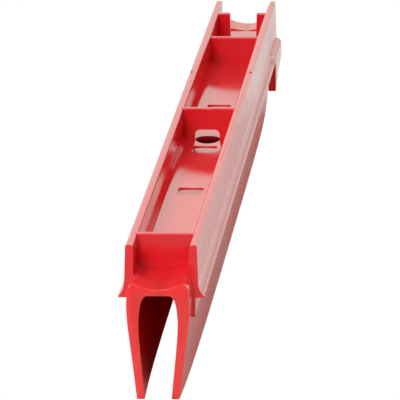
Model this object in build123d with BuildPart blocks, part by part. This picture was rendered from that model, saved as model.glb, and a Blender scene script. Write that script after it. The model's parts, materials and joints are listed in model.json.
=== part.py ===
"""Refill cassette for a double-blade squeegee.

A stiff plastic carrier, open at the top, slides onto the rail of a squeegee
frame.  Two soft rubber blades hang below it.

Frame: +X runs along the cassette towards its latch gate, +Y is the rear, +Z is up.
The origin is at the middle of the footprint, at the level of the blade tips.
"""

import os

from build123d import *

os.makedirs("parts", exist_ok=True)

# ---------------------------------------------------------------- overall sizes
carrier_length = 475.0
blade_overhang = 15.0           # rubber that stands past each end of the carrier
overall_height = 42.4           # blade tips to rim

# --------------------------------------------------------------- channel and walls
channel_half_width = 8.1
wall_thickness = 2.3
wall_draft = 0.5                # how much wider the wall is at its foot
rim_outer_radius = 0.7
rim_inner_radius = 0.9
floor_depth = 10.8              # rim to the floor's middle, its lowest line
floor_thickness = 0.9
floor_dish = 0.35
floor_corner_width = 2.5
floor_corner_rise = 2.4         # from the floor's middle to where its corner meets the wall
foot_height = 3.75              # wall below the floor
foot_step = 0.4                 # how far the wall's foot is set back from the channel
wall_nose_radius = 2.0          # the walls' top corners at the gate end
front_lead_in = 0.85            # the walls grow thinner by this much past the gate
rear_lead_in = 0.2

# ------------------------------------------------------------------ fins and skirts
fin_reach = 1.6                 # past the wall's foot
fin_height = 4.45
fin_edge = 0.4                  # thickness at the fin's tip
fin_tip_radius = 0.15
skirt_thickness = 1.45
skirt_height = 5.65
skirt_edge_radius = 0.4

# ----------------------------------------------------- cross walls, from the closed end
bulkhead_thickness = 2.4
bulkhead_edge_radius = 0.4
end_bulkhead_inset = 19.1
centre_bulkhead_inset = 242.2
far_bulkhead_inset = 400.0
far_bulkhead_drop = 1.5
arch_half_width = 3.95
arch_half_top = 2.3
arch_height = 3.8
arch_shoulder = 2.2

# -------------------------------------------------------------------------- latch gate
gate_inset = 447.0
gate_thickness = 2.6
gate_drop = 0.4                 # rim to the posts' tops
gate_slot_width = 9.4
gate_slot_shift = 0.55          # the slot sits a little towards the front wall
gate_slot_taper = 0.3

# ------------------------------------------------------------- rim step and finger tab
rebate_start = 143.5            # along here the rim is a narrow ridge with a step outside it
rebate_end = 317.0
rebate_depth = 0.3
rebate_width = 0.95
tab_length = 41.0
tab_drop = 10.25                # below the fin
tab_middle_rise = 4.6           # how much shallower it is half-way along
tab_end_rise = 6.2              # and at the carrier's end
tab_corner_radius = 3.0
tab_shoulder_rise = 2.25        # wall's foot to the rounded shoulder above the tab
tab_shoulder_height = 1.9
tab_run_in = 16.0               # over this length the fin swells into the shoulder

# ------------------------------------------------------ bond slots and the drain hole
row_shift = 0.4                 # slots, hole and arch sit a little towards the rear wall
plug_width = 7.7
plug_length = 13.0
plug_corner_radius = 1.6
plug_recess = 0.3
plug_insets = (149.5, 226.2, 307.5)
drain_inset = 245.1             # the oval hole's middle, under the centre bulkhead
drain_length = 14.8
drain_margin = 2.6              # floor beyond each end of the hole, built as one piece with it

# ------------------------------------------------------------------------------ rubber
saddle_lift = 0.35              # how far the saddle's ends stand above the floor
saddle_dish = 2.0
shoulder_drop = 1.5
shoulder_swell = 0.38           # the roots are widest a little below the shoulders
web_thickness = 0.5             # rubber under the carrier's floor
cavity_corner = 1.9
blade_root_radius = 1.62
flex_gap = 0.33                 # clear space above the flexing blade
hinge_setback = 1.3             # line of flexing, inside the wall's foot
hinge_clearance = 2.1           # line of flexing, below the skirts
blade_lean = 2.19               # how far the tips stand inside the line of flexing
blade_tip_thickness = 2.28
blade_hollow = 0.22             # of the outer side

# --------------------------------------------------------------------- derived sizes
closed_end = -carrier_length / 2
gate_end = carrier_length / 2
rubber_length = carrier_length + 2 * blade_overhang
rubber_start = -rubber_length / 2
rebate_middle = closed_end + (rebate_start + rebate_end) / 2
plug_middles = [closed_end + inset for inset in plug_insets]
drain_middle = closed_end + drain_inset
drain_reach = drain_length / 2 + drain_margin
LENGTHS = {
    "closed_end": (closed_end, drain_middle - drain_reach),
    "drain": (drain_middle - drain_reach, drain_middle + drain_reach),
    "gate_end": (drain_middle + drain_reach, gate_end),
}

rim_half_width = channel_half_width + wall_thickness
floor_half_flat = channel_half_width - floor_corner_width
floor_edge_depth = floor_depth - floor_dish
floor_corner_depth = floor_depth - floor_corner_rise
floor_underside = floor_depth + floor_thickness
wall_foot_depth = floor_underside + foot_height
wall_foot_half_inner = channel_half_width + foot_step
wall_foot_half_outer = rim_half_width + wall_draft
fin_half_width = wall_foot_half_outer + fin_reach
fin_top_depth = wall_foot_depth - fin_height
fin_tip_depth = wall_foot_depth - fin_edge
skirt_depth = wall_foot_depth + skirt_height
tab_thickness = fin_half_width - wall_foot_half_inner - skirt_thickness
tab_start = gate_end - tab_length
lead_in_start = closed_end + gate_inset + gate_thickness
run_in_start = tab_start - tab_run_in
shoulder_depth = wall_foot_depth - tab_shoulder_rise
FIN_LENGTHS = {"front": carrier_length - tab_length - tab_run_in, "rear": carrier_length}
LEAD_INS = {"front": front_lead_in, "rear": rear_lead_in}

cavity_depth = floor_underside + web_thickness
saddle_depth = floor_depth - saddle_lift
horn_depth = saddle_depth - saddle_dish
hinge_depth = skirt_depth + hinge_clearance
hinge_half_spacing = wall_foot_half_inner - hinge_setback
blade_top_depth = hinge_depth - blade_root_radius
root_bottom_depth = blade_top_depth - flex_gap
root_foot_half = hinge_half_spacing + blade_root_radius
root_half_width = root_foot_half + shoulder_swell
cavity_half_root = hinge_half_spacing - blade_root_radius
cavity_half_bend = cavity_half_root - cavity_corner / 6
cavity_half_top = cavity_half_bend - cavity_corner
blade_tip_outer = hinge_half_spacing - blade_lean + blade_tip_thickness / 2
blade_tip_inner = hinge_half_spacing - blade_lean - blade_tip_thickness / 2
SIDES = {"front": -1, "rear": 1}


def level(depth):
    """Height of a point that lies `depth` below the rim."""
    return overall_height - depth


def at(side, half, depth):
    """Section point on one side of the centre plane."""
    return (side * half, level(depth))


def wall_outer(depth):
    """Half width of the carrier's drafted outer face."""
    return rim_half_width + wall_draft * depth / wall_foot_depth


def section_plane(x):
    return Plane.YZ.offset(x)


def corner_curve(side):
    """The rounded corner where the dished floor meets one wall."""
    TangentArc(at(side, floor_half_flat, floor_edge_depth),
               at(side, channel_half_width, floor_corner_depth),
               tangent=(side, 0))


def dish_curve():
    """The hollow top of the floor between its two corners."""
    ThreePointArc(at(-1, floor_half_flat, floor_edge_depth),
                  at(1, 0, floor_depth),
                  at(1, floor_half_flat, floor_edge_depth))


def nearest_vertex(point):
    """The sketch corner that lies at `point`."""
    return vertices().sort_by_distance(point)[0]


def save(piece, name):
    piece.part.label = name
    export_step(piece.part, f"parts/{name}.step")


# -------------------------------------------------------------------------- side walls
for side_name, side in SIDES.items():
    with BuildPart() as wall:
        with BuildSketch(section_plane(closed_end)):
            with BuildLine():
                Polyline(at(side, channel_half_width, 0),
                         at(side, rim_half_width, 0),
                         at(side, wall_foot_half_outer, wall_foot_depth),
                         at(side, wall_foot_half_inner, wall_foot_depth),
                         at(side, wall_foot_half_inner, floor_underside),
                         at(side, channel_half_width, floor_underside),
                         close=True)
            make_face()
            fillet(nearest_vertex(at(side, rim_half_width, 0)), rim_outer_radius)
            fillet(nearest_vertex(at(side, channel_half_width, 0)), rim_inner_radius)
        extrude(amount=carrier_length)
        with BuildSketch(Plane.XZ):
            with Locations((0, level(wall_foot_depth / 2))):
                Rectangle(carrier_length, wall_foot_depth)
            fillet(nearest_vertex((gate_end, level(0))), wall_nose_radius)
        extrude(amount=2 * wall_foot_half_outer, both=True, mode=Mode.INTERSECT)
        with BuildSketch(Plane.XY.offset(level(rebate_depth))):
            with Locations((rebate_middle, side * (rim_half_width + rebate_width))):
                Rectangle(rebate_end - rebate_start, 4 * rebate_width)
        extrude(amount=2 * rebate_depth, mode=Mode.SUBTRACT)
        with BuildSketch(Plane.XY.offset(level(floor_corner_depth))):
            with BuildLine():
                Polyline((lead_in_start, side * channel_half_width),
                         (gate_end, side * (channel_half_width + LEAD_INS[side_name])),
                         (gate_end, 0),
                         (lead_in_start, 0),
                         close=True)
            make_face()
        extrude(amount=2 * floor_corner_depth, mode=Mode.SUBTRACT)
    save(wall, f"{side_name}_wall")

# ------------------------------------------------------------- sealing fins and skirts
for side_name, side in SIDES.items():
    with BuildPart() as fin:
        with BuildSketch(section_plane(closed_end)):
            with BuildLine():
                top = at(side, wall_outer(fin_top_depth), fin_top_depth)
                tip = at(side, fin_half_width, fin_tip_depth)
                TangentArc(top, tip, tangent=(side * wall_draft, -wall_foot_depth))
                Polyline(tip,
                         at(side, fin_half_width, wall_foot_depth),
                         at(side, wall_foot_half_outer, wall_foot_depth),
                         top)
            make_face()
            fillet(nearest_vertex(at(side, fin_half_width, wall_foot_depth)), fin_tip_radius)
        extrude(amount=FIN_LENGTHS[side_name])
    save(fin, f"{side_name}_fin")

    with BuildPart() as skirt:
        with BuildSketch(section_plane(closed_end)):
            with Locations(at(side, wall_foot_half_inner + skirt_thickness / 2,
                              wall_foot_depth + skirt_height / 2)):
                Rectangle(skirt_thickness, skirt_height)
            fillet(vertices().group_by(Axis.Y)[0], skirt_edge_radius)
        extrude(amount=carrier_length)
    save(skirt, f"{side_name}_skirt")

# ------------------------------------------------------------------------ channel floor
for length_name, (start, end) in LENGTHS.items():
    with BuildPart() as floor:
        with BuildSketch(section_plane(start)):
            with BuildLine():
                dish_curve()
                Polyline(at(1, floor_half_flat, floor_edge_depth),
                         at(1, channel_half_width, floor_edge_depth),
                         at(1, channel_half_width, floor_underside),
                         at(-1, channel_half_width, floor_underside),
                         at(-1, channel_half_width, floor_edge_depth),
                         at(-1, floor_half_flat, floor_edge_depth))
            make_face()
        extrude(amount=end - start)
        with BuildSketch(Plane.XY.offset(level(floor_underside))):
            with Locations([(x, row_shift) for x in plug_middles]):
                RectangleRounded(plug_length, plug_width, plug_corner_radius)
            with Locations((drain_middle, row_shift)):
                Ellipse(drain_length / 2, arch_half_width)
        extrude(amount=floor_depth, mode=Mode.SUBTRACT)
    save(floor, f"{length_name}_floor")

for side_name, side in SIDES.items():
    with BuildPart() as corner_fillet:
        with BuildSketch(section_plane(closed_end)):
            with BuildLine():
                corner_curve(side)
                Polyline(at(side, channel_half_width, floor_corner_depth),
                         at(side, channel_half_width, floor_edge_depth),
                         at(side, floor_half_flat, floor_edge_depth))
            make_face()
        extrude(amount=carrier_length)
    save(corner_fillet, f"{side_name}_corner_fillet")


# ---------------------------------------------------------------------------- bulkheads
def channel_outline():
    """Outline of a cross wall that fills the channel and rises between the rounded rims."""
    dish_curve()
    for side in SIDES.values():
        corner_curve(side)
        Line(at(side, channel_half_width, floor_corner_depth),
             at(side, channel_half_width, rim_inner_radius))
        TangentArc(at(side, channel_half_width, rim_inner_radius),
                   at(side, channel_half_width + rim_inner_radius, 0),
                   tangent=(0, 1))
    Line(at(-1, channel_half_width + rim_inner_radius, 0),
         at(1, channel_half_width + rim_inner_radius, 0))


def cross_wall_side(thickness, drop):
    """Side outline of a cross wall, whose rounded top lies `drop` below the rim."""
    Polyline((0, level(floor_underside)),
             (0, level(drop + bulkhead_edge_radius)))
    Polyline((thickness, level(floor_underside)),
             (thickness, level(drop + bulkhead_edge_radius)))
    Line((0, level(floor_underside)), (thickness, level(floor_underside)))
    Line((bulkhead_edge_radius, level(drop)), (thickness - bulkhead_edge_radius, level(drop)))
    TangentArc((0, level(drop + bulkhead_edge_radius)), (bulkhead_edge_radius, level(drop)),
               tangent=(0, 1))
    TangentArc((thickness, level(drop + bulkhead_edge_radius)),
               (thickness - bulkhead_edge_radius, level(drop)),
               tangent=(0, 1))


def arch_at(side, half, depth):
    """Section point on one side of the arch's own middle."""
    return (row_shift + side * half, level(depth))


BULKHEADS = {
    "end": (end_bulkhead_inset, 0),
    "centre": (centre_bulkhead_inset, 0),
    "far": (far_bulkhead_inset, far_bulkhead_drop),
}
for bulkhead_name, (inset, drop) in BULKHEADS.items():
    with BuildPart() as bulkhead:
        with BuildSketch(section_plane(closed_end + inset)):
            with BuildLine():
                channel_outline()
            make_face()
        extrude(amount=bulkhead_thickness)
        with BuildSketch(Plane(origin=(closed_end + inset, 0, 0), x_dir=(1, 0, 0), z_dir=(0, -1, 0))):
            with BuildLine():
                cross_wall_side(bulkhead_thickness, drop)
            make_face()
        extrude(amount=rim_half_width, both=True, mode=Mode.INTERSECT)
        if bulkhead_name == "centre":
            with BuildSketch(section_plane(closed_end + inset)):
                with BuildLine():
                    arch_top = floor_depth - arch_height
                    spring = arch_top + arch_shoulder
                    Polyline(arch_at(-1, arch_half_width, spring),
                             arch_at(-1, arch_half_width, floor_underside),
                             arch_at(1, arch_half_width, floor_underside),
                             arch_at(1, arch_half_width, spring))
                    Line(arch_at(-1, arch_half_top, arch_top),
                         arch_at(1, arch_half_top, arch_top))
                    for side in SIDES.values():
                        ThreePointArc(arch_at(side, arch_half_top, arch_top),
                                      arch_at(side, (arch_half_top + 3 * arch_half_width) / 4,
                                              (3 * arch_top + spring) / 4),
                                      arch_at(side, arch_half_width, spring))
                make_face()
            extrude(amount=bulkhead_thickness, mode=Mode.SUBTRACT)
    save(bulkhead, f"{bulkhead_name}_bulkhead")

# -------------------------------------------------------------------------- latch gate
for side_name, side in SIDES.items():
    with BuildPart() as post:
        with BuildSketch(section_plane(closed_end + gate_inset)):
            with BuildLine():
                channel_outline()
            make_face()
        extrude(amount=gate_thickness)
        with BuildSketch(Plane(origin=(closed_end + gate_inset, 0, 0), x_dir=(1, 0, 0),
                               z_dir=(0, -1, 0))):
            with BuildLine():
                cross_wall_side(gate_thickness, gate_drop)
            make_face()
        extrude(amount=rim_half_width, both=True, mode=Mode.INTERSECT)
        with BuildSketch(section_plane(closed_end + gate_inset)):
            with BuildLine():
                mouth = side * gate_slot_width / 2 - gate_slot_shift
                narrowed = mouth - side * gate_slot_taper
                away = -side * rim_half_width
                Polyline((mouth, level(-1)),
                         (narrowed, level(floor_underside)),
                         (away, level(floor_underside)),
                         (away, level(-1)),
                         close=True)
            make_face()
        extrude(amount=gate_thickness, mode=Mode.SUBTRACT)
    save(post, f"{side_name}_gate_post")

# --------------------------------------------------------------------------- finger tab
with BuildPart() as finger_tab:
    with BuildSketch(section_plane(tab_start)) as shoulder_section:
        with BuildLine():
            top = at(-1, wall_outer(shoulder_depth), shoulder_depth)
            tip = at(-1, fin_half_width, shoulder_depth + tab_shoulder_height)
            TangentArc(top, tip, tangent=(-1, 0))
            Polyline(tip,
                     at(-1, fin_half_width, wall_foot_depth),
                     at(-1, wall_foot_half_outer, wall_foot_depth),
                     top)
        make_face()
    extrude(amount=tab_length)
    with BuildSketch(section_plane(run_in_start)) as fin_section:
        with BuildLine():
            top = at(-1, wall_outer(fin_top_depth), fin_top_depth)
            tip = at(-1, fin_half_width, fin_tip_depth)
            TangentArc(top, tip, tangent=(-wall_draft, -wall_foot_depth))
            Polyline(tip,
                     at(-1, fin_half_width, wall_foot_depth),
                     at(-1, wall_foot_half_outer, wall_foot_depth),
                     top)
        make_face()
    loft(sections=[fin_section.sketch.face(), shoulder_section.sketch.face()])
    with BuildSketch(Plane.XZ.offset(fin_half_width - tab_thickness)):
        with BuildLine():
            tab_foot_depth = wall_foot_depth + tab_drop
            end_corner = (gate_end, level(tab_foot_depth - tab_end_rise))
            Polyline((tab_start, level(wall_foot_depth)),
                     (tab_start, level(tab_foot_depth)),
                     (gate_end - tab_length / 2, level(tab_foot_depth - tab_middle_rise)),
                     end_corner,
                     (gate_end, level(wall_foot_depth)),
                     close=True)
        make_face()
        fillet(nearest_vertex(end_corner), tab_corner_radius)
    extrude(amount=tab_thickness)
save(finger_tab, "finger_tab")


# ----------------------------------------------------------------- rubber under the floor
for length_name, (start, end) in LENGTHS.items():
    with BuildPart() as web:
        with BuildSketch(Plane.XY.offset(level(cavity_depth))):
            with Locations(((start + end) / 2, 0)):
                Rectangle(end - start, 2 * wall_foot_half_inner)
            with Locations((drain_middle, row_shift)):
                Ellipse(drain_length / 2, arch_half_width, mode=Mode.SUBTRACT)
        extrude(amount=web_thickness)
    save(web, f"{length_name}_web")


def root_inner_side(side):
    """The side of a blade root that faces the other one, with its rounded top corner."""
    corner_end = at(side, cavity_half_bend, cavity_depth + 1.6 * cavity_corner)
    ThreePointArc(at(side, cavity_half_top, cavity_depth),
                  at(side, cavity_half_top + 0.75 * cavity_corner,
                     cavity_depth + 0.4 * cavity_corner),
                  corner_end)
    Line(corner_end, at(side, cavity_half_root, root_bottom_depth))


for side_name, side in SIDES.items():
    with BuildPart() as root:
        with BuildSketch(section_plane(closed_end)):
            with BuildLine():
                root_inner_side(side)
                Polyline(at(side, cavity_half_root, root_bottom_depth),
                         at(side, wall_foot_half_inner, root_bottom_depth),
                         at(side, wall_foot_half_inner, cavity_depth),
                         at(side, cavity_half_top, cavity_depth))
            make_face()
        extrude(amount=carrier_length)
        with BuildSketch(section_plane(rubber_start), section_plane(gate_end)):
            with BuildLine():
                root_inner_side(side)
                Line(at(side, cavity_half_root, root_bottom_depth),
                     at(side, root_foot_half, root_bottom_depth))
                ThreePointArc(at(side, root_foot_half, root_bottom_depth),
                              at(side, root_half_width, wall_foot_depth),
                              at(side, root_foot_half, cavity_depth))
                Line(at(side, root_foot_half, cavity_depth),
                     at(side, cavity_half_top, cavity_depth))
            make_face()
        extrude(amount=blade_overhang)
    save(root, f"{side_name}_blade_root")

for end_name, start in {"closed": rubber_start, "gate": gate_end}.items():
    with BuildPart() as end_saddle:
        with BuildSketch(section_plane(start)):
            with BuildLine():
                ThreePointArc(at(-1, hinge_half_spacing, horn_depth),
                              at(1, 0, saddle_depth),
                              at(1, hinge_half_spacing, horn_depth))
                for side in SIDES.values():
                    Polyline(at(side, hinge_half_spacing, horn_depth),
                             at(side, root_foot_half, horn_depth + shoulder_drop),
                             at(side, root_foot_half, cavity_depth),
                             at(side, 0, cavity_depth))
            make_face()
        extrude(amount=blade_overhang)
    save(end_saddle, f"{end_name}_end_saddle")

# -------------------------------------------------------------------------- bond plugs
with BuildPart() as bond_plugs:
    with BuildSketch(Plane.XY.offset(level(floor_underside))):
        with Locations([(x, row_shift) for x in plug_middles]):
            RectangleRounded(plug_length, plug_width, plug_corner_radius)
    extrude(amount=floor_thickness - plug_recess)
save(bond_plugs, "bond_plugs")

# ------------------------------------------------------------------------------- blades
for side_name, side in SIDES.items():
    with BuildPart() as blade:
        with BuildSketch(section_plane(rubber_start)):
            with BuildLine():
                outer_root = at(side, hinge_half_spacing + blade_root_radius, hinge_depth)
                inner_root = at(side, hinge_half_spacing - blade_root_radius, hinge_depth)
                crown = at(side, hinge_half_spacing, blade_top_depth)
                outer_tip = at(side, blade_tip_outer, overall_height)
                inner_tip = at(side, blade_tip_inner, overall_height)
                half_way = (hinge_depth + overall_height) / 2
                ThreePointArc(inner_root, crown, outer_root)
                mid_half = (hinge_half_spacing + blade_root_radius + blade_tip_outer) / 2
                ThreePointArc(outer_root, at(side, mid_half - blade_hollow, half_way), outer_tip)
                Polyline(outer_tip, inner_tip, inner_root)
            make_face()
        extrude(amount=rubber_length)
    save(blade, f"{side_name}_blade")
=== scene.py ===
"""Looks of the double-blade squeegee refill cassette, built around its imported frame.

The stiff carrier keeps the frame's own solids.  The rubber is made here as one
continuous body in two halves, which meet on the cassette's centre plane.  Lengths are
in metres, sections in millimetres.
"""

import json
import math

import bmesh
import bpy
from mathutils import Matrix, Vector
from mathutils.geometry import interpolate_bezier


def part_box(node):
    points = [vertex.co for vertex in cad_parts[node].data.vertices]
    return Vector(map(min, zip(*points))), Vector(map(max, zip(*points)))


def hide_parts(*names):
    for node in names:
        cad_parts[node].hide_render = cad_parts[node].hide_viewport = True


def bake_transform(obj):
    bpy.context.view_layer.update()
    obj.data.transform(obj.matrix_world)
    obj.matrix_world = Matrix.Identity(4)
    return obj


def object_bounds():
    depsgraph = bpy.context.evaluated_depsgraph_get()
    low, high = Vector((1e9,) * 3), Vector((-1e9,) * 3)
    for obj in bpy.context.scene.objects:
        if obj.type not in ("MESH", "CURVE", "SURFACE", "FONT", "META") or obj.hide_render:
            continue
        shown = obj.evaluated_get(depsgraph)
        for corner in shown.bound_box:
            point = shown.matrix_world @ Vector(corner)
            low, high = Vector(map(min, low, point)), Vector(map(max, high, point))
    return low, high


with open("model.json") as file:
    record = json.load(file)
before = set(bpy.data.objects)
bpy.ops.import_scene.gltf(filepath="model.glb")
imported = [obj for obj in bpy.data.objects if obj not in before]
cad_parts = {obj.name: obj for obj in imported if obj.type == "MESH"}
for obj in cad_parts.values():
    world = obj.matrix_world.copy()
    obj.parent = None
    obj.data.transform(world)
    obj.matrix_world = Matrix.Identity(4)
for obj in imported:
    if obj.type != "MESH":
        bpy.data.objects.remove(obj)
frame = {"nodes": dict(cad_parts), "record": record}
cad_box = [list(corner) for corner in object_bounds()]
scene = bpy.context.scene
MM = 0.001

# ------------------------------------------------------------- places on the frame
RIM_HEIGHT = cad_box[1][2]
RUBBER_END = cad_box[1][0]
CARRIER_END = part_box("rear_wall")[1].x
FLOOR_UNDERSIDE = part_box("drain_floor")[0].z
SKIRT_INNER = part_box("rear_skirt")[0].y
SKIRT_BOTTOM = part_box("rear_skirt")[0].z
DRAIN_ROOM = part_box("drain_floor")
DRAIN_SHIFT = sum(corner.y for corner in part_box("bond_plugs")) / 2


# ================================================================== shader node groups
SCRATCH_SCALE = 4200
SWELL_SCALE = 180                   # slow waviness of the mould's surface
GRAIN_SHARE = 0.35                  # of the relief
FILM_SCALE = 45
FILM_SHARE = 0.35                   # of the dust, the rest being specks
FACES_UP = (0.2, 1.0)               # upward part of the normal where dust starts and is full
SIDE_DUST = 0.25                    # share of the dust that stays on steep faces


def link(tree, source, target):
    tree.links.new(source, target)


def add(tree, kind, **settings):
    """A node of one kind; settings are its own properties or, by name, its inputs."""
    node = tree.nodes.new(kind)
    for name, value in settings.items():
        if hasattr(node, name):
            setattr(node, name, value)
        else:
            node.inputs[name.replace("_", " ").title()].default_value = value
    return node


def new_group(name, inputs, outputs):
    """An empty node group with float inputs; outputs map a name to its socket type."""
    tree = bpy.data.node_groups.new(name, "ShaderNodeTree")
    for label, value in inputs.items():
        socket = tree.interface.new_socket(label, in_out="INPUT", socket_type="NodeSocketFloat")
        socket.default_value = value
    for label, kind in outputs.items():
        tree.interface.new_socket(label, in_out="OUTPUT", socket_type=kind)
    return tree, tree.nodes.new("NodeGroupInput"), tree.nodes.new("NodeGroupOutput")


def noise_at(tree, stretch, scale_socket=None, scale=1.0, detail=3.0):
    """Noise on object coordinates, stretched along each axis."""
    place = add(tree, "ShaderNodeTexCoord")
    mapping = add(tree, "ShaderNodeMapping")
    mapping.inputs["Scale"].default_value = stretch
    noise = add(tree, "ShaderNodeTexNoise", scale=scale, detail=detail)
    link(tree, place.outputs["Object"], mapping.inputs["Vector"])
    link(tree, mapping.outputs["Vector"], noise.inputs["Vector"])
    if scale_socket:
        link(tree, scale_socket, noise.inputs["Scale"])
    return noise.outputs["Fac"]


def remap(tree, value, low, high, out_low=0.0, out_high=1.0):
    node = add(tree, "ShaderNodeMapRange")
    node.interpolation_type = "SMOOTHSTEP"
    node.inputs["From Min"].default_value = low
    node.inputs["From Max"].default_value = high
    node.inputs["To Min"].default_value = out_low
    node.inputs["To Max"].default_value = out_high
    link(tree, value, node.inputs["Value"])
    return node.outputs["Result"]


def maths(tree, operation, first, second):
    node = add(tree, "ShaderNodeMath", operation=operation)
    for socket, value in zip(node.inputs, (first, second)):
        if isinstance(value, (int, float)):
            socket.default_value = value
        else:
            link(tree, value, socket)
    return node.outputs["Value"]


def moulded_skin_group():
    """Flow streaks, gloss patches with fine scratches, and the grain of the mould's steel."""
    tree, given, made = new_group(
        "moulded_skin",
        {"Streak Scale": 60.0, "Patch Scale": 70.0, "Grain Scale": 2400.0, "Scratches": 0.4},
        {"Tone": "NodeSocketFloat", "Gloss": "NodeSocketFloat", "Relief": "NodeSocketFloat"})
    streaks = noise_at(tree, (0.12, 1, 1), given.outputs["Streak Scale"], detail=4)
    link(tree, remap(tree, streaks, 0.3, 0.7), made.inputs["Tone"])

    patches = noise_at(tree, (0.4, 1, 1), given.outputs["Patch Scale"], detail=5)
    hairs = noise_at(tree, (0.02, 1, 1), scale=SCRATCH_SCALE, detail=1)
    scratches = maths(tree, "MULTIPLY", remap(tree, hairs, 0.66, 0.74), given.outputs["Scratches"])
    gloss = maths(tree, "ADD", remap(tree, patches, 0.32, 0.72), scratches)
    link(tree, maths(tree, "MINIMUM", gloss, 1.0), made.inputs["Gloss"])

    grain = noise_at(tree, (1, 1, 1), given.outputs["Grain Scale"], detail=2)
    swell = noise_at(tree, (0.5, 1, 1), scale=SWELL_SCALE, detail=1)
    relief = maths(tree, "ADD", maths(tree, "MULTIPLY", grain, GRAIN_SHARE), swell)
    link(tree, relief, made.inputs["Relief"])
    return tree


def settled_dust_group():
    """Specks of lint and dust, which lie on faces that look upwards."""
    tree, given, made = new_group(
        "settled_dust", {"Amount": 0.1, "Speck Scale": 900.0}, {"Dust": "NodeSocketFloat"})
    surface = add(tree, "ShaderNodeNewGeometry")
    axes = add(tree, "ShaderNodeSeparateXYZ")
    link(tree, surface.outputs["Normal"], axes.inputs["Vector"])
    upward = remap(tree, axes.outputs["Z"], *FACES_UP, SIDE_DUST, 1.0)
    film = remap(tree, noise_at(tree, (1, 1, 1), scale=FILM_SCALE, detail=4), 0.35, 0.75)
    specks = noise_at(tree, (1, 1, 1), given.outputs["Speck Scale"], detail=2)
    film_cover = maths(tree, "MULTIPLY", film, FILM_SHARE)
    cover = maths(tree, "ADD", film_cover, remap(tree, specks, 0.68, 0.76))
    share = maths(tree, "MULTIPLY", maths(tree, "MULTIPLY", cover, upward), given.outputs["Amount"])
    link(tree, maths(tree, "MINIMUM", share, 1.0), made.inputs["Dust"])
    return tree


GROUPS = {
    "skin": moulded_skin_group(),
    "dust": settled_dust_group(),
}
DUST_COLOUR = (0.62, 0.5, 0.47, 1)


def use_group(tree, key, **values):
    node = tree.nodes.new("ShaderNodeGroup")
    node.node_tree = GROUPS[key]
    for name, value in values.items():
        node.inputs[name.replace("_", " ").title()].default_value = value
    return node


def mix_colour(tree, share, first, second):
    """first and second are colours or colour sockets."""
    node = add(tree, "ShaderNodeMix", data_type="RGBA")
    link(tree, share, node.inputs["Factor"])
    for socket, value in ((node.inputs[6], first), (node.inputs[7], second)):
        if isinstance(value, tuple):
            socket.default_value = value
        else:
            link(tree, value, socket)
    return node.outputs[2]


def moulding_material(name, deep, light, gloss, skin, dust, relief):
    """A moulded finish: gloss is its (least, most) roughness, relief its bump in metres."""
    material = bpy.data.materials.new(name)
    material.use_nodes = True
    tree = material.node_tree
    shader = tree.nodes["Principled BSDF"]
    shader.inputs["IOR"].default_value = 1.5
    surface = use_group(tree, "skin", **skin)
    dirt = use_group(tree, "dust", amount=dust)

    colour = mix_colour(tree, surface.outputs["Tone"], deep, light)
    colour = mix_colour(tree, dirt.outputs["Dust"], colour, DUST_COLOUR)
    link(tree, colour, shader.inputs["Base Color"])

    rough = remap(tree, surface.outputs["Gloss"], 0.0, 1.0, *gloss)
    link(tree, maths(tree, "ADD", rough, dirt.outputs["Dust"]), shader.inputs["Roughness"])

    bump = add(tree, "ShaderNodeBump", distance=relief)
    bump.inputs["Strength"].default_value = 1.0
    link(tree, surface.outputs["Relief"], bump.inputs["Height"])
    link(tree, bump.outputs["Normal"], shader.inputs["Normal"])
    return material


stiff_plastic = moulding_material(
    "stiff_plastic", deep=(0.68, 0.014, 0.021, 1), light=(0.76, 0.018, 0.027, 1),
    gloss=(0.07, 0.13),
    skin={"streak_scale": 50, "patch_scale": 60, "grain_scale": 2400, "scratches": 0.4},
    dust=0.05, relief=0.000004)
soft_rubber = moulding_material(
    "soft_rubber", deep=(0.68, 0.03, 0.028, 1), light=(0.75, 0.038, 0.034, 1),
    gloss=(0.11, 0.19),
    skin={"streak_scale": 80, "patch_scale": 45, "grain_scale": 1700, "scratches": 0.2},
    dust=0.06, relief=0.000006)

# light passes a little way through the soft rubber, red light furthest
GLOW_SHARE = 0.85
GLOW_SPREAD = (1.0, 0.3, 0.28)
GLOW_DEPTH = 6 * MM
rubber_shader = soft_rubber.node_tree.nodes["Principled BSDF"]
rubber_shader.inputs["Subsurface Weight"].default_value = GLOW_SHARE
rubber_shader.inputs["Subsurface Radius"].default_value = GLOW_SPREAD
rubber_shader.inputs["Subsurface Scale"].default_value = GLOW_DEPTH

# ======================================================================= CAD node looks
slots = {part["node"]: part["material_slot"] for part in frame["record"]["subparts"]}
for name, node in frame["nodes"].items():
    node.data.materials.clear()
    node.data.materials.append(soft_rubber if slots[name] == "soft_rubber" else stiff_plastic)

# ============================================================================== rubber
CURVE_STEPS = 9
CENTRE_SADDLE = 10.45               # depth below the rim, mm
SADDLE_AT_CARRIER = 0.25            # how much lower the saddle's middle is there
SADDLE_HALF = 7.2
GATE_DIP = 1.3                      # how far its edges dip to the channel's floor at the gate
WEB_TOP_GAP = 0.05
ROOT_SIDE_GAP = 0.05
WEB_UNDERSIDE = 12.2
TIP_PINCH = 1.1                     # how far the tips draw in at the rubber's ends, mm
TIP_PINCH_LENGTH = 45.0             # over about this length, mm
END_ROUNDING = 0.14                 # mm
END_HELD = 0.35                     # the end rounding's shading stays within this, mm
SHARP_ANGLE = math.radians(38)
END_KEPT = 1.0                      # the last stretch of the rubber keeps its end section, mm
SADDLE_LIMIT = WEB_UNDERSIDE - 1    # nothing deeper belongs to the saddle, mm
DIP_LIMIT = WEB_UNDERSIDE - 2       # nothing deeper dips at the gate, mm
STATION_STEPS = 26
DRAIN_MARGIN = 2.6                  # from the drain floor's ends to the hole, mm
DRAIN_GAP = 0.1
DRAIN_CUT_HEIGHT = 6.0
DRAIN_CORNERS = 48

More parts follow.
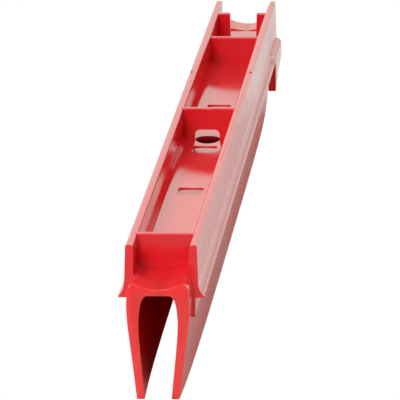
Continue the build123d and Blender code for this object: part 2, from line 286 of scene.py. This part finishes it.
# Curved stretches of one half's section at the rubber's ends, from the saddle's middle
# over the outer side to the tip and up the inner side: (half width, depth) in mm.
SECTION_CURVES = [
    ((0, CENTRE_SADDLE), (2.54, CENTRE_SADDLE), (5.03, 9.76), (6.95, 8.62)),
    ((6.95, 8.62), (7.15, 8.45), (7.32, 8.45), (7.55, 8.7)),
    ((8.55, 9.72), (8.98, 10.3), (9.12, 12.0), (9.18, 14.5)),
    ((9.18, 14.5), (9.22, 17.5), (8.9, 20.5), (8.5, 23.5)),
    ((8.5, 23.5), (7.69, 29.5), (6.87, 36.4), (6.18, 42.15)),
    ((6.18, 42.15), (6.15, 42.35), (6.1, 42.4), (5.9, 42.4)),
    ((4.1, 42.4), (3.92, 42.4), (3.88, 42.36), (3.88, 42.15)),
    ((3.88, 42.15), (4.25, 37.5), (4.95, 31.5), (5.35, 26.5)),
    ((5.35, 26.5), (5.72, 22.5), (5.75, 20.0), (5.5, 17.5)),
    ((5.5, 17.5), (5.2, 14.2), (4.6, 12.5), (3.3, WEB_UNDERSIDE)),
]


def section_points():
    """One half's section as (half width, depth) in mm, closed along the centre plane."""
    points = []
    for knot_a, handle_a, handle_b, knot_b in SECTION_CURVES:
        stretch = interpolate_bezier(Vector(knot_a), Vector(handle_a),
                                     Vector(handle_b), Vector(knot_b), CURVE_STEPS)
        points += [point for point in stretch if not points or (point - points[-1]).length > 1e-4]
    points.append(Vector((0, WEB_UNDERSIDE)))
    return points


SECTION = section_points()
TIP_INDEX = max(range(len(SECTION)), key=lambda index: SECTION[index].y)


def tip_pinch(x):
    """How far a tip stands outside its place at the rubber's ends, in mm."""
    from_end = (RUBBER_END - abs(x)) / MM
    return TIP_PINCH * (1 - math.exp(-from_end / TIP_PINCH_LENGTH))


def rubber_point(index, x, inside, side):
    """Place of one section point at x; inside the carrier the section is cut back."""
    half, depth = SECTION[index]
    root_depth = (RIM_HEIGHT - SKIRT_BOTTOM) / MM
    reach = max(0.0, (depth - root_depth) / (RIM_HEIGHT / MM - root_depth))
    half += tip_pinch(x) * reach ** 1.5
    height = RIM_HEIGHT - depth * MM
    at_carrier = abs(x) < RUBBER_END - END_KEPT * MM
    if at_carrier and half < SADDLE_HALF and depth < SADDLE_LIMIT:
        height -= SADDLE_AT_CARRIER * MM * (1 - half / SADDLE_HALF)
    if at_carrier and x > 0 and index < TIP_INDEX and depth < DIP_LIMIT:
        height -= GATE_DIP * MM * min(1, half / SADDLE_HALF) ** 3
    if inside:
        height = min(height, FLOOR_UNDERSIDE - WEB_TOP_GAP * MM)
        if index < TIP_INDEX and height > SKIRT_BOTTOM:
            half = min(half, SKIRT_INNER / MM - ROOT_SIDE_GAP)
    return Vector((x, side * half * MM, height))


def rubber_stations():
    """(x, inside the carrier) along the rubber, closer together towards its ends."""
    inner = [-math.cos(math.pi * step / STATION_STEPS) for step in range(STATION_STEPS + 1)]
    middle = [(CARRIER_END * share, True) for share in inner]
    held = RUBBER_END - END_HELD * MM
    return ([(-RUBBER_END, False), (-held, False), (-CARRIER_END, False)] + middle
            + [(CARRIER_END, False), (held, False), (RUBBER_END, False)])


def new_object(name, shape, material):
    mesh = bpy.data.meshes.new(name)
    shape.to_mesh(mesh)
    shape.free()
    mesh.materials.append(material)
    thing = bpy.data.objects.new(name, mesh)
    scene.collection.objects.link(thing)
    return thing


def drain_cutter():
    """An upright oval post, where the drain hole goes through the rubber."""
    low, high = DRAIN_ROOM
    hole_half_width = sum(abs(corner.y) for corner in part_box("bond_plugs")) / 2 + DRAIN_GAP * MM
    shape = bmesh.new()
    bmesh.ops.create_cone(shape, cap_ends=True, segments=DRAIN_CORNERS, radius1=1,
                          radius2=1, depth=1)
    half_length = (high.x - low.x) / 2 - DRAIN_MARGIN * MM
    bmesh.ops.scale(shape, vec=(half_length, hole_half_width, DRAIN_CUT_HEIGHT * MM),
                    verts=shape.verts)
    bmesh.ops.translate(shape, vec=((low.x + high.x) / 2, DRAIN_SHIFT, low.z), verts=shape.verts)
    return new_object("drain_cutter", shape, soft_rubber)


def rubber_half(name, side, cutter):
    """One half of the rubber: saddle ends, web, root and blade in one piece."""
    shape = bmesh.new()
    number = shape.verts.layers.int.new("section_number")
    stations = rubber_stations()
    start_x, start_inside = stations[0]
    corners = []
    for index in range(len(SECTION)):
        corner = shape.verts.new(rubber_point(index, start_x, start_inside, side))
        corner[number] = index
        corners.append(corner)
    first = [shape.edges.new((corner, corners[index - 1])) for index, corner in enumerate(corners)]
    ring = first
    for x, inside in stations[1:]:
        grown = bmesh.ops.extrude_edge_only(shape, edges=ring)["geom"]
        ring = [item for item in grown if isinstance(item, bmesh.types.BMEdge)]
        for corner in (item for item in grown if isinstance(item, bmesh.types.BMVert)):
            corner.co = rubber_point(corner[number], x, inside, side)
    bmesh.ops.holes_fill(shape, edges=first + ring, sides=0)
    rounded = [edge for edge in shape.edges
               if abs(edge.verts[0].co.x) > RUBBER_END - 0.01 * MM
               and abs(edge.verts[1].co.x) > RUBBER_END - 0.01 * MM
               and edge.verts[0].co.x * edge.verts[1].co.x > 0
               and max(abs(corner.co.y) for corner in edge.verts) > 0.01 * MM]
    bmesh.ops.bevel(shape, geom=rounded, affect="EDGES", offset=END_ROUNDING * MM, segments=3,
                    profile=0.5, material=-1, clamp_overlap=True)
    bmesh.ops.recalc_face_normals(shape, faces=shape.faces)
    for face in shape.faces:
        face.smooth = True
    for edge in shape.edges:
        edge.smooth = edge.calc_face_angle(0) < SHARP_ANGLE
    half = new_object(name, shape, soft_rubber)
    cut = half.modifiers.new("drain", "BOOLEAN")
    cut.object = cutter
    cut.operation = "DIFFERENCE"
    cut.solver = "EXACT"
    depsgraph = bpy.context.evaluated_depsgraph_get()
    finished = bpy.data.meshes.new_from_object(half.evaluated_get(depsgraph))
    half.modifiers.clear()
    half.data = finished
    return half


cutter = drain_cutter()
HALVES = {
    "front": ("front_blade", "front_blade_root", "closed_end_web", "drain_web", "gate_end_web"),
    "rear": ("rear_blade", "rear_blade_root", "closed_end_saddle", "gate_end_saddle"),
}
for side_name, stood_for in HALVES.items():
    side = -1 if side_name == "front" else 1
    half = rubber_half(f"{side_name}_rubber", side, cutter)
    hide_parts(*stood_for)
    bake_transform(half)
bpy.data.objects.remove(cutter)

# ============================================================================== studio
KEY_PLACE = (-1.3, 0.45, 1.6)
KEY_SIZE = 0.9
KEY_POWER = 21
FILL_PLACE = (-1.7, 0.5, 1.1)       # behind the camera's left shoulder
FILL_SIZE = 1.2
FILL_POWER = 11
FLOOR_FAR = 0.8                     # how much light the floor returns under the cassette
FLOOR_NEAR = 0.45                   # and in front of its closed end
SKY_FAR = 0.95                      # brightness beyond the gate end
SKY_NEAR = 0.3                      # and behind the closed end
SKY_COLOUR = (1, 0.95, 0.88, 1)
SKY_FADE = (-0.7, 0.7)              # along the view, from dim to bright
FLOOR_FADE = (-0.6, -0.2)           # metres along the cassette, from dim to bright
FLOOR_WIDTH = 12


def area_light(name, place, size, power):
    data = bpy.data.lights.new(name, "AREA")
    data.size = size
    data.energy = power
    lamp = bpy.data.objects.new(name, data)
    lamp.location = place
    lamp.rotation_euler = (-Vector(place)).to_track_quat("-Z", "Y").to_euler()
    scene.collection.objects.link(lamp)


def studio_world():
    """A white surround, bright beyond the gate end and dim behind the closed end."""
    world = bpy.data.worlds.new("studio")
    world.use_nodes = True
    tree = world.node_tree
    background = tree.nodes["Background"]
    direction = add(tree, "ShaderNodeTexCoord")
    axes = add(tree, "ShaderNodeSeparateXYZ")
    path = add(tree, "ShaderNodeLightPath")
    link(tree, direction.outputs["Generated"], axes.inputs["Vector"])
    glow = remap(tree, axes.outputs["X"], *SKY_FADE, SKY_NEAR, SKY_FAR)
    seen = maths(tree, "MAXIMUM", glow, path.outputs["Is Camera Ray"])
    link(tree, seen, background.inputs["Strength"])
    tint = mix_colour(tree, path.outputs["Is Camera Ray"], SKY_COLOUR, (1, 1, 1, 1))
    link(tree, tint, background.inputs["Color"])
    return world


def studio_floor():
    """A white floor that shows no shade but lights the object; it is clear from below."""
    bpy.ops.mesh.primitive_plane_add(size=FLOOR_WIDTH, location=(0, 0, 0))
    floor = bpy.context.object
    floor.name = "studio_floor"
    material = bpy.data.materials.new("studio_floor")
    material.use_nodes = True
    tree = material.node_tree
    tree.nodes.remove(tree.nodes["Principled BSDF"])
    matt = add(tree, "ShaderNodeBsdfDiffuse")
    place = add(tree, "ShaderNodeTexCoord")
    axes = add(tree, "ShaderNodeSeparateXYZ")
    link(tree, place.outputs["Object"], axes.inputs["Vector"])
    link(tree, remap(tree, axes.outputs["X"], *FLOOR_FADE, FLOOR_NEAR, FLOOR_FAR),
         matt.inputs["Color"])
    white = add(tree, "ShaderNodeEmission")
    path = add(tree, "ShaderNodeLightPath")
    mix = add(tree, "ShaderNodeMixShader")
    link(tree, path.outputs["Is Camera Ray"], mix.inputs["Fac"])
    link(tree, matt.outputs["BSDF"], mix.inputs[1])
    link(tree, white.outputs["Emission"], mix.inputs[2])
    below = add(tree, "ShaderNodeNewGeometry")
    clear = add(tree, "ShaderNodeBsdfTransparent")
    sided = add(tree, "ShaderNodeMixShader")
    link(tree, below.outputs["Backfacing"], sided.inputs["Fac"])
    link(tree, mix.outputs["Shader"], sided.inputs[1])
    link(tree, clear.outputs["BSDF"], sided.inputs[2])
    link(tree, sided.outputs["Shader"], tree.nodes["Material Output"].inputs["Surface"])
    floor.data.materials.append(material)


scene.view_settings.view_transform = "Standard"
scene.world = studio_world()
studio_floor()
area_light("key", KEY_PLACE, KEY_SIZE, KEY_POWER)
area_light("fill", FILL_PLACE, FILL_SIZE, FILL_POWER)

# ============================================================================== camera
VIEW_YAW = math.radians(3.363)      # off the cassette's long axis
VIEW_PITCH = math.radians(10.14)    # downwards
VIEW_ROLL = math.radians(-0.221)
VIEW_PLACE = Vector((-2.2986, -0.1325, 0.4250))
VIEW_LENS = 653.55                  # mm, on a 36 mm sensor

camera_data = bpy.data.cameras.new("camera")
camera_data.lens = VIEW_LENS
camera_data.sensor_width = 36
camera_data.clip_end = 50
camera = bpy.data.objects.new("camera", camera_data)
scene.collection.objects.link(camera)
camera.matrix_world = (Matrix.Translation(VIEW_PLACE)
                       @ Matrix.Rotation(VIEW_YAW - math.pi / 2, 4, "Z")
                       @ Matrix.Rotation(math.pi / 2 - VIEW_PITCH, 4, "X")
                       @ Matrix.Rotation(VIEW_ROLL, 4, "Z"))
scene.camera = camera
